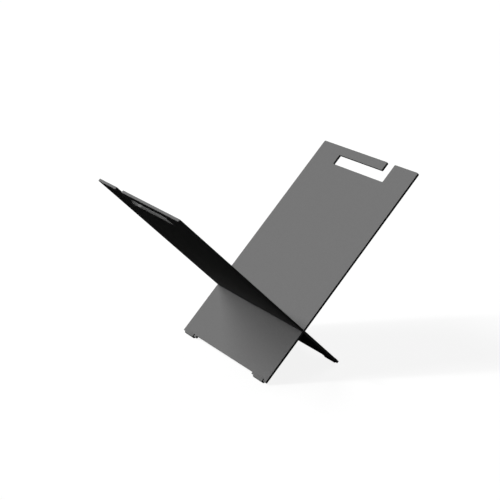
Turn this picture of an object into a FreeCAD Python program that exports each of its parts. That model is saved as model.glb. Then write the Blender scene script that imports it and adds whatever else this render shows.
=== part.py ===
import FreeCAD, Part
import math
import os

# Log holder: two equal steel panels that cross in a half-lap and stand on push-on foot caps.
# Millimetres. X runs from foot to foot, Y along the crossing line, Z up, with the floor at Z = 0.
# The right panel's top leans to +X. The left panel is the same plate, turned half a turn about Z.

# Plate
panel_length = 500.0
panel_width = 300.0
panel_thickness = 5.0
lean_angle = 45.0
panel_corner_round = 3.0
edge_break = 0.4

# Half-lap crossing, measured along the slope from the edge of the feet
crossing_from_feet = 120.5
lap_side_clearance = 0.3
lap_end_clearance = 0.3
lap_lead_in = 2.0
lap_corner_round = 0.6

# Carrying cut-out: a finger slot under a bar, and a gap that opens one end of it to the top edge
bar_height = 20.0
finger_slot_height = 23.0
finger_slot_length = 160.0
bar_gap = 23.0
cut_out_round = 2.0

# Feet of the plate
foot_width = 48.0
foot_height = 4.0
foot_corner_round = 1.5
foot_round = 1.0

# Foot caps
cap_width = 30.0
cap_wall = 1.5
cap_base = 2.8
cap_grip = 5.0
cap_clearance = 0.1
cap_round = 2.0
cap_end_break = 0.3
heel_trim = 1.3
heel_round = 0.6

# Places along the slope, counted up from the middle of the crossing
foot_edge = -crossing_from_feet
relief_edge = foot_edge + foot_height
top_edge = panel_length - crossing_from_feet
bar_edge = top_edge - bar_height
finger_edge = bar_edge - finger_slot_height

# Places across the plate, counted from its middle towards the rear
rear_edge = panel_width / 2
front_edge = -rear_edge
finger_rear = finger_slot_length / 2
finger_front = -finger_rear
bar_end = finger_front + bar_gap
relief_rear = rear_edge - foot_width
relief_front = -relief_rear
foot_middle = rear_edge - foot_width / 2

# The slot takes the other plate where it passes through slantwise, with clearance on both sides
lean = math.radians(lean_angle)
crossing_angle = math.pi - 2 * lean
slanted_thickness = panel_thickness * (1 + abs(math.cos(crossing_angle))) / math.sin(crossing_angle)
lap_half = slanted_thickness / 2 + lap_side_clearance
lap_end = -lap_end_clearance / 2

# The cap's lower corner would reach past the floor by the trim, which is cut off level as its heel
half_thickness = panel_thickness / 2
cap_inside = half_thickness + cap_clearance
cap_outside = cap_inside + cap_wall
cap_seat = foot_edge - cap_clearance
cap_heel = cap_seat - cap_base
cap_tip = foot_edge + cap_grip
heel_cut_base = heel_trim / math.cos(lean)
heel_cut_wall = heel_trim / math.sin(lean)
crossing_height = -cap_heel * math.sin(lean) + cap_outside * math.cos(lean) - heel_trim


def rounded_wire(corners):
    """Closed wire through the corners, each a point with the radius of the arc that rounds it."""
    arcs = []
    for index, (corner, radius) in enumerate(corners):
        before = (corners[index - 1][0] - corner).normalize()
        after = (corners[(index + 1) % len(corners)][0] - corner).normalize()
        half_angle = before.getAngle(after) / 2
        inward = (before + after).normalize()
        start = corner + before * (radius / math.tan(half_angle))
        middle = corner + inward * (radius / math.sin(half_angle) - radius)
        end = corner + after * (radius / math.tan(half_angle))
        arcs.append((start, middle, end))
    edges = []
    for index, (start, middle, end) in enumerate(arcs):
        edges.append(Part.LineSegment(arcs[index - 1][2], start).toShape())
        edges.append(Part.Arc(start, middle, end).toShape())
    return Part.Wire(edges)


def on_plate(slope, across, radius):
    """Corner in the plate's own plane: X up the slope, Y across."""
    return FreeCAD.Vector(slope, across, 0), radius


def flat_panel():
    """Plate lying flat, its thickness centred on Z = 0 and the crossing line on the Y axis."""
    outline = rounded_wire([
        on_plate(foot_edge, front_edge, foot_corner_round),
        on_plate(top_edge, front_edge, panel_corner_round),
        # Carrying cut-out, in through the gap and out round the bar
        on_plate(top_edge, finger_front, cut_out_round),
        on_plate(finger_edge, finger_front, cut_out_round),
        on_plate(finger_edge, finger_rear, cut_out_round),
        on_plate(bar_edge, finger_rear, cut_out_round),
        on_plate(bar_edge, bar_end, cut_out_round),
        on_plate(top_edge, bar_end, cut_out_round),
        on_plate(top_edge, rear_edge, panel_corner_round),
        # Half-lap slot, from the rear edge to the middle
        on_plate(lap_half, rear_edge, lap_lead_in),
        on_plate(lap_half, lap_end, lap_corner_round),
        on_plate(-lap_half, lap_end, lap_corner_round),
        on_plate(-lap_half, rear_edge, lap_lead_in),
        on_plate(foot_edge, rear_edge, foot_corner_round),
        # Relief between the feet
        on_plate(foot_edge, relief_rear, foot_round),
        on_plate(relief_edge, relief_rear, foot_round),
        on_plate(relief_edge, relief_front, foot_round),
        on_plate(foot_edge, relief_front, foot_round),
    ])
    plate = Part.Face(outline).extrude(FreeCAD.Vector(0, 0, panel_thickness))
    plate.translate(FreeCAD.Vector(0, 0, -half_thickness))
    rims = [edge for edge in plate.Edges if abs(abs(edge.CenterOfMass.z) - half_thickness) < 1e-6]
    return plate.makeChamfer(edge_break, rims)


def on_section(slope, proud, radius):
    """Corner of the cap's section: X up the slope, Z out of the plate's face."""
    return FreeCAD.Vector(slope, 0, proud), radius


def flat_cap(middle):
    """Foot cap on the flat plate: a U section carried across the foot, its open side up the slope.

    The section's lower corner is cut so that it lies level once the plate leans.
    """
    tip_round = min(cap_round, 0.4 * cap_wall)
    section = rounded_wire([
        on_section(cap_tip, cap_outside, tip_round),
        on_section(cap_heel, cap_outside, cap_round),
        on_section(cap_heel, heel_cut_base - cap_outside, heel_round),
        on_section(cap_heel + heel_cut_wall, -cap_outside, heel_round),
        on_section(cap_tip, -cap_outside, tip_round),
        on_section(cap_tip, -cap_inside, tip_round),
        on_section(cap_seat, -cap_inside, edge_break),
        on_section(cap_seat, cap_inside, edge_break),
        on_section(cap_tip, cap_inside, tip_round),
    ])
    cap = Part.Face(section).extrude(FreeCAD.Vector(0, cap_width, 0))
    cap.translate(FreeCAD.Vector(0, middle - cap_width / 2, 0))
    ends = [edge for edge in cap.Edges if abs(abs(edge.CenterOfMass.y - middle) - cap_width / 2) < 1e-6]
    return cap.makeChamfer(cap_end_break, ends)


def stood_up(shape):
    """Turns a flat shape to the right panel's slope and lifts its crossing line to its height."""
    raised = shape.copy()
    raised.rotate(FreeCAD.Vector(0, 0, 0), FreeCAD.Vector(0, 1, 0), -lean_angle)
    raised.translate(FreeCAD.Vector(0, 0, crossing_height))
    return raised


def turned_round(shape):
    """The same piece on the left panel, half a turn about the vertical."""
    turned = shape.copy()
    turned.rotate(FreeCAD.Vector(0, 0, 0), FreeCAD.Vector(0, 0, 1), 180)
    return turned


right_panel = stood_up(flat_panel())
front_cap = stood_up(flat_cap(-foot_middle))
rear_cap = stood_up(flat_cap(foot_middle))

nodes = {
    "right_panel": right_panel,
    "right_panel_front_foot_cap": front_cap,
    "right_panel_rear_foot_cap": rear_cap,
    "left_panel": turned_round(right_panel),
    "left_panel_front_foot_cap": turned_round(rear_cap),
    "left_panel_rear_foot_cap": turned_round(front_cap),
}

os.makedirs("parts", exist_ok=True)
for name, shape in nodes.items():
    shape.exportStep(f"parts/{name}.step")
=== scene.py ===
import math

import bpy
import numpy as np
from mathutils import Euler, Matrix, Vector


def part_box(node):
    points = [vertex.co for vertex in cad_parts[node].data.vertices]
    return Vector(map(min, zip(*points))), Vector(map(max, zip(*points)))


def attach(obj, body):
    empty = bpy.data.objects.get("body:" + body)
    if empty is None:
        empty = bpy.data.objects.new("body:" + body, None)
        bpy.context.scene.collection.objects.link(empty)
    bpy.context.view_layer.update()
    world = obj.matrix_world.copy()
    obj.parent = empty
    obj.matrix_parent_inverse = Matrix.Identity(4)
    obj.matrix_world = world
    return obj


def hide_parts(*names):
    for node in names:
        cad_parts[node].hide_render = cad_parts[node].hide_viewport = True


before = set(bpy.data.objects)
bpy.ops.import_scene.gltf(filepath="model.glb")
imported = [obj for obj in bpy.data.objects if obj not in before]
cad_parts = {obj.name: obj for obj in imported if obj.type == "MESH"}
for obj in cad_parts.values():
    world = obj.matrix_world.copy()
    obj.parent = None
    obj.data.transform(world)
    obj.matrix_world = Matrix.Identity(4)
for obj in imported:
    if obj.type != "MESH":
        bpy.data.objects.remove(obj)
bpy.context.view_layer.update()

# The two panels: one plate of 5 mm steel each, laser cut in one outline and powder coated dark grey.
# The coat runs round every cut edge. Each plate has a slot from one edge to its middle, and the two
# slots slide into each other at the crossing, with nothing else to hold them.
panel_length = 0.500
panel_width = 0.300
panel_thickness = 0.005
panel_corner_round = 0.003
coat_round = 0.0004
lean = math.radians(45)
crossing_from_feet = 0.1205
lap_clearance = 0.0003
lap_lead_in = 0.002
lap_corner_round = 0.0006
bar_height = 0.020
finger_slot_height = 0.023
finger_slot_length = 0.160
bar_gap = 0.023
cut_out_round = 0.002
foot_width = 0.048
foot_height = 0.004
foot_corner_round = 0.0015
foot_round = 0.001

# Places on the plate: up the slope from the crossing, and across from the plate's middle.
foot_edge = -crossing_from_feet
relief_edge = foot_edge + foot_height
top_edge = panel_length - crossing_from_feet
bar_edge = top_edge - bar_height
finger_edge = bar_edge - finger_slot_height
half_width = panel_width / 2
finger_side = finger_slot_length / 2
bar_end = bar_gap - finger_side
relief_side = half_width - foot_width
lap_half = panel_thickness / 2 + lap_clearance
lap_end = -lap_clearance / 2
panel_outline = [
    (foot_edge, -half_width, foot_corner_round),
    (top_edge, -half_width, panel_corner_round),
    # Carrying cut-out, in through the gap and out round the bar
    (top_edge, -finger_side, cut_out_round),
    (finger_edge, -finger_side, cut_out_round),
    (finger_edge, finger_side, cut_out_round),
    (bar_edge, finger_side, cut_out_round),
    (bar_edge, bar_end, cut_out_round),
    (top_edge, bar_end, cut_out_round),
    (top_edge, half_width, panel_corner_round),
    # Half-lap slot, with rounded corners at its mouth that lead the other plate in
    (lap_half, half_width, lap_lead_in),
    (lap_half, lap_end, lap_corner_round),
    (-lap_half, lap_end, lap_corner_round),
    (-lap_half, half_width, lap_lead_in),
    (foot_edge, half_width, foot_corner_round),
    # Relief between the feet
    (foot_edge, relief_side, foot_round),
    (relief_edge, relief_side, foot_round),
    (relief_edge, -relief_side, foot_round),
    (foot_edge, -relief_side, foot_round),
]

# Axes of the right panel: up its slope, across it, and out of its upper face.
up_slope = np.array([math.cos(lean), 0.0, math.sin(lean)])
across = np.array([0.0, 1.0, 0.0])
off_face = np.cross(up_slope, across)

# The crossing line is where the middle of the right panel's slope meets X = 0.
panel_low, panel_high = (np.array(corner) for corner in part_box("right_panel"))
panel_middle = (panel_low + panel_high) / 2
crossing = np.array([0.0, 0.0, panel_middle[2] - panel_middle[0] * math.tan(lean)])


def rounded_outline(corners, arc_steps=8):
    """Points and outward normals of a closed outline, listed anticlockwise, whose corners are arcs.

    Each arc's normal turns evenly from one edge's normal to the next one's, and its point is the arc's
    centre plus radius times normal, or minus where the corner turns inwards.
    """
    corner = np.array([place[:2] for place in corners])
    radius = np.array([place[2] for place in corners])
    arriving = corner - np.roll(corner, 1, axis=0)
    arriving /= np.linalg.norm(arriving, axis=1, keepdims=True)
    leaving = np.roll(arriving, -1, axis=0)
    cross = arriving[:, 0] * leaving[:, 1] - arriving[:, 1] * leaving[:, 0]
    turn = np.arctan2(cross, np.sum(arriving * leaving, axis=1))
    bulge = (np.sign(turn) * radius)[:, None]
    first_normal = np.stack([arriving[:, 1], -arriving[:, 0]], axis=1)
    start = corner - arriving * (radius * np.tan(np.abs(turn) / 2))[:, None]
    centre = start - bulge * first_normal
    angle = np.arctan2(first_normal[:, 1], first_normal[:, 0])[:, None]
    angle = angle + turn[:, None] * np.linspace(0, 1, arc_steps + 1)
    normals = np.stack([np.cos(angle), np.sin(angle)], axis=2)
    points = centre[:, None, :] + bulge[:, :, None] * normals
    return points.reshape(-1, 2), normals.reshape(-1, 2)


def rounded_slab(name, corners, thickness, rim_round, origin, side, up, rim_steps=5):
    """Slab with rounded rims: outline minus normal times inset, lifted along the axis side cross up.

    Inset and lift follow a quarter circle from the upper face to the wall, and another from the wall
    to the lower face.
    """
    points, normals = rounded_outline(corners)
    angle = np.linspace(0, math.pi / 2, rim_steps + 1)
    inset = rim_round * (1 - np.sin(angle))
    lift = thickness / 2 - rim_round * (1 - np.cos(angle))
    inset = np.concatenate([inset, inset[::-1]])
    lift = np.concatenate([lift, -lift[::-1]])
    flat = points[None] - normals[None] * inset[:, None, None]
    out = np.cross(side, up)
    grid = origin + flat[..., :1] * side + flat[..., 1:] * up + lift[:, None, None] * out
    rings, count = grid.shape[:2]
    index = np.arange(rings * count).reshape(rings, count)
    ahead = np.roll(index, -1, axis=1)
    walls = np.stack([index[:-1], index[1:], ahead[1:], ahead[:-1]], axis=2).reshape(-1, 4)
    faces = [index[0].tolist(), index[-1, ::-1].tolist(), *walls.tolist()]
    mesh = bpy.data.meshes.new(name)
    mesh.from_pydata(grid.reshape(-1, 3), [], faces)
    mesh.polygons.foreach_set("use_smooth", np.arange(len(faces)) > 1)
    mesh.update()
    piece = bpy.data.objects.new(name, mesh)
    bpy.context.collection.objects.link(piece)
    return piece


def half_turn(piece):
    """Turns a piece's mesh half a turn about the vertical, so that it becomes the left panel's."""
    piece.data.transform(Matrix.Rotation(math.pi, 4, "Z"))
    piece.data.update()


def matt_finish(name, dark, light, grain_scale, grain_height, roughness,
                grain_strength=0.6, speckle_range=(0.3, 0.7), cloud_scale=35, mirror_level=1e-6):
    """Dead matt surface with a fine grain, which mixes the two colours and lifts the surface.

    The noise of the grain is spread from its speckle range to the whole mix, and a wider cloud of
    noise runs the roughness from its first value to its second. The mirror level is next to nothing,
    but above zero, because at zero a bake has no roughness to find.
    """
    material = bpy.data.materials.new(name)
    material.use_nodes = True
    nodes = material.node_tree.nodes
    link = material.node_tree.links.new
    shader = nodes["Principled BSDF"]
    shader.inputs["Specular IOR Level"].default_value = mirror_level
    place = nodes.new("ShaderNodeTexCoord").outputs["Object"]

    grain = nodes.new("ShaderNodeTexNoise")
    grain.inputs["Scale"].default_value = grain_scale
    link(place, grain.inputs["Vector"])
    speckle = nodes.new("ShaderNodeMapRange")
    speckle.inputs["From Min"].default_value = speckle_range[0]
    speckle.inputs["From Max"].default_value = speckle_range[1]
    link(grain.outputs["Fac"], speckle.inputs["Value"])
    colour = nodes.new("ShaderNodeMix")
    colour.data_type = "RGBA"
    colour.inputs["A"].default_value = dark
    colour.inputs["B"].default_value = light
    link(speckle.outputs["Result"], colour.inputs["Factor"])
    link(colour.outputs["Result"], shader.inputs["Base Color"])

    cloud = nodes.new("ShaderNodeTexNoise")
    cloud.inputs["Scale"].default_value = cloud_scale
    link(place, cloud.inputs["Vector"])
    gloss = nodes.new("ShaderNodeMapRange")
    gloss.inputs["To Min"].default_value = roughness[0]
    gloss.inputs["To Max"].default_value = roughness[1]
    link(cloud.outputs["Fac"], gloss.inputs["Value"])
    link(gloss.outputs["Result"], shader.inputs["Roughness"])

    bump = nodes.new("ShaderNodeBump")
    bump.inputs["Strength"].default_value = grain_strength
    bump.inputs["Distance"].default_value = grain_height
    link(grain.outputs["Fac"], bump.inputs["Height"])
    link(bump.outputs["Normal"], shader.inputs["Normal"])
    return material


powder_coat = matt_finish(
    "powder_coat_dark_grey",
    dark=(0.150, 0.150, 0.150, 1),
    light=(0.180, 0.180, 0.180, 1),
    grain_scale=900,
    grain_height=0.0003,
    roughness=(0.60, 0.72),
)
for side_name in ("right", "left"):
    panel = rounded_slab(side_name + "_plate", panel_outline, panel_thickness, coat_round,
                         crossing, up_slope, across)
    if side_name == "left":
        half_turn(panel)
    panel.data.materials.append(powder_coat)
    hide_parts(side_name + "_panel")
    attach(panel, side_name + "_half")

# The foot caps: four moulded rubber channels in the plates' grey, pushed onto their feet from below.
# They keep the steel off the floor. Each one's lowest corner has a narrow flat that it stands on.
cap_width = 0.030
cap_wall = 0.0015
cap_base = 0.0028
cap_grip = 0.005
cap_clearance = 0.0001
cap_round = 0.002
cap_tip_round = 0.0006
cap_inner_round = 0.0004
cap_end_round = 0.0003
heel_trim = 0.0013
heel_round = 0.0006

cap_inside = panel_thickness / 2 + cap_clearance
cap_outside = cap_inside + cap_wall
cap_seat = foot_edge - cap_clearance
cap_heel = cap_seat - cap_base
cap_tip = foot_edge + cap_grip
heel_leg = heel_trim / math.sin(lean)
foot_middle = half_width - foot_width / 2
cap_section = [
    (cap_heel, heel_leg - cap_outside, heel_round),
    (cap_heel + heel_leg, -cap_outside, heel_round),
    (cap_tip, -cap_outside, cap_tip_round),
    (cap_tip, -cap_inside, cap_tip_round),
    (cap_seat, -cap_inside, cap_inner_round),
    (cap_seat, cap_inside, cap_inner_round),
    (cap_tip, cap_inside, cap_tip_round),
    (cap_tip, cap_outside, cap_tip_round),
    (cap_heel, cap_outside, cap_round),
]
moulded_rubber = matt_finish(
    "moulded_rubber_grey",
    dark=(0.142, 0.142, 0.142, 1),
    light=(0.168, 0.168, 0.168, 1),
    grain_scale=2200,
    grain_height=0.00006,
    roughness=(0.70, 0.82),
)
# Under the half turn the left panel's front cap is the shape that stands at the right panel's rear.
for side_name, end_name, end_sign in (
    ("right", "front", -1),
    ("right", "rear", 1),
    ("left", "front", 1),
    ("left", "rear", -1),
):
    cap_middle = crossing + across * (end_sign * foot_middle)
    cap = rounded_slab(f"{side_name}_{end_name}_cap", cap_section, cap_width, cap_end_round,
                       cap_middle, up_slope, off_face)
    if side_name == "left":
        half_turn(cap)
    cap.data.materials.append(moulded_rubber)
    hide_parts(f"{side_name}_panel_{end_name}_foot_cap")
    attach(cap, side_name + "_half")

# The floor: a wide pale sheet that shows the soft shadow. To the camera, and in reflections, it is
# white, and it throws little light back up, because the plates' undersides are close to black.
floor_half = 30.0
floor_glow = 0.88
floor_shown_grey = (0.14, 0.14, 0.14, 1)
floor_thrown_grey = (0.01, 0.01, 0.01, 1)

floor_mesh = bpy.data.meshes.new("floor")
floor_corners = [
    (-floor_half, -floor_half, 0),
    (floor_half, -floor_half, 0),
    (floor_half, floor_half, 0),
    (-floor_half, floor_half, 0),
]
floor_mesh.from_pydata(floor_corners, [], [(0, 1, 2, 3)])
floor = bpy.data.objects.new("floor", floor_mesh)
bpy.context.collection.objects.link(floor)


def seen_directly(nodes, link):
    """1 for camera, glossy and transmission rays, 0 for the rays that carry diffuse light."""
    path = nodes.new("ShaderNodeLightPath")
    camera_or_glossy = nodes.new("ShaderNodeMath")
    camera_or_glossy.operation = "MAXIMUM"
    link(path.outputs["Is Camera Ray"], camera_or_glossy.inputs[0])
    link(path.outputs["Is Glossy Ray"], camera_or_glossy.inputs[1])
    any_of_three = nodes.new("ShaderNodeMath")
    any_of_three.operation = "MAXIMUM"
    link(camera_or_glossy.outputs[0], any_of_three.inputs[0])
    link(path.outputs["Is Transmission Ray"], any_of_three.inputs[1])
    return any_of_three.outputs[0]


floor_paper = bpy.data.materials.new("floor_paper")
floor_paper.use_nodes = True
nodes = floor_paper.node_tree.nodes
link = floor_paper.node_tree.links.new
nodes.remove(nodes["Principled BSDF"])
shown_sheet = nodes.new("ShaderNodeBsdfDiffuse")
shown_sheet.inputs["Color"].default_value = floor_shown_grey
shown_glow = nodes.new("ShaderNodeEmission")
shown_glow.inputs["Strength"].default_value = floor_glow
shown = nodes.new("ShaderNodeAddShader")
link(shown_sheet.outputs[0], shown.inputs[0])
link(shown_glow.outputs[0], shown.inputs[1])
dim_sheet = nodes.new("ShaderNodeBsdfDiffuse")
dim_sheet.inputs["Color"].default_value = floor_thrown_grey
paper_mix = nodes.new("ShaderNodeMixShader")
link(seen_directly(nodes, link), paper_mix.inputs["Fac"])
link(dim_sheet.outputs[0], paper_mix.inputs[1])
link(shown.outputs[0], paper_mix.inputs[2])
link(paper_mix.outputs[0], nodes["Material Output"].inputs["Surface"])
floor_mesh.materials.append(floor_paper)


# The light: a soft key and a smaller light come from the upper left and behind, onto the right panel's
# upper face. The smaller one slants down along the left panel's plane and reaches under it. A low light
# from the right shows the faces that look that way, and the dim room is white where it is seen.
def soft_light(name, strength, degrees_wide, direction):
    """Far round light, as many degrees wide, seen from the log holder in the given direction."""
    lamp = bpy.data.lights.new(name, "SUN")
    lamp.energy = strength
    lamp.angle = math.radians(degrees_wide)
    lamp_object = bpy.data.objects.new(name, lamp)
    x, y, z = np.array(direction) / np.linalg.norm(direction)
    lamp_object.rotation_euler = (math.acos(z), 0, math.atan2(y, x) + math.pi / 2)
    bpy.context.collection.objects.link(lamp_object)


soft_light("key_light", strength=2.47, degrees_wide=24, direction=(-0.455, 0.55, 0.70))
soft_light("slant_light", strength=1.61, degrees_wide=4, direction=(-0.597, 0.55, 0.584))
soft_light("right_light", strength=2.4, degrees_wide=36, direction=(0.92, 0.34, 0.2))

room_dim = 0.04
room_white = 1.0
world = bpy.data.worlds.new("room")
bpy.context.scene.world = world
world.use_nodes = True
nodes = world.node_tree.nodes
link = world.node_tree.links.new
room = nodes["Background"]
room.inputs["Color"].default_value = (1, 1, 1, 1)
room_strength = nodes.new("ShaderNodeMapRange")
room_strength.inputs["To Min"].default_value = room_dim
room_strength.inputs["To Max"].default_value = room_white
link(seen_directly(nodes, link), room_strength.inputs["Value"])
link(room_strength.outputs["Result"], room.inputs["Strength"])

# The camera stands where the photograph was taken from, in front of the holder, to its left and above it.
# Azimuth turns it from straight ahead to the right, and elevation tips it down.
camera_place = (-1.2884, -1.8987, 1.0191)
camera_azimuth = math.radians(33.682)
camera_elevation = math.radians(19.470)
camera_roll = math.radians(0.267)
sensor_mm = 36
focal_length_mm = 89.71
camera_lens = bpy.data.cameras.new("camera")
camera_lens.sensor_width = sensor_mm
camera_lens.lens = focal_length_mm
camera = bpy.data.objects.new("camera", camera_lens)
aim = Euler((math.pi / 2 - camera_elevation, 0, -camera_azimuth)).to_matrix()
aim = aim @ Matrix.Rotation(camera_roll, 3, "Z")
camera.matrix_world = Matrix.Translation(camera_place) @ aim.to_4x4()
bpy.context.collection.objects.link(camera)
bpy.context.scene.camera = camera
bpy.context.scene.view_settings.view_transform = "Standard"
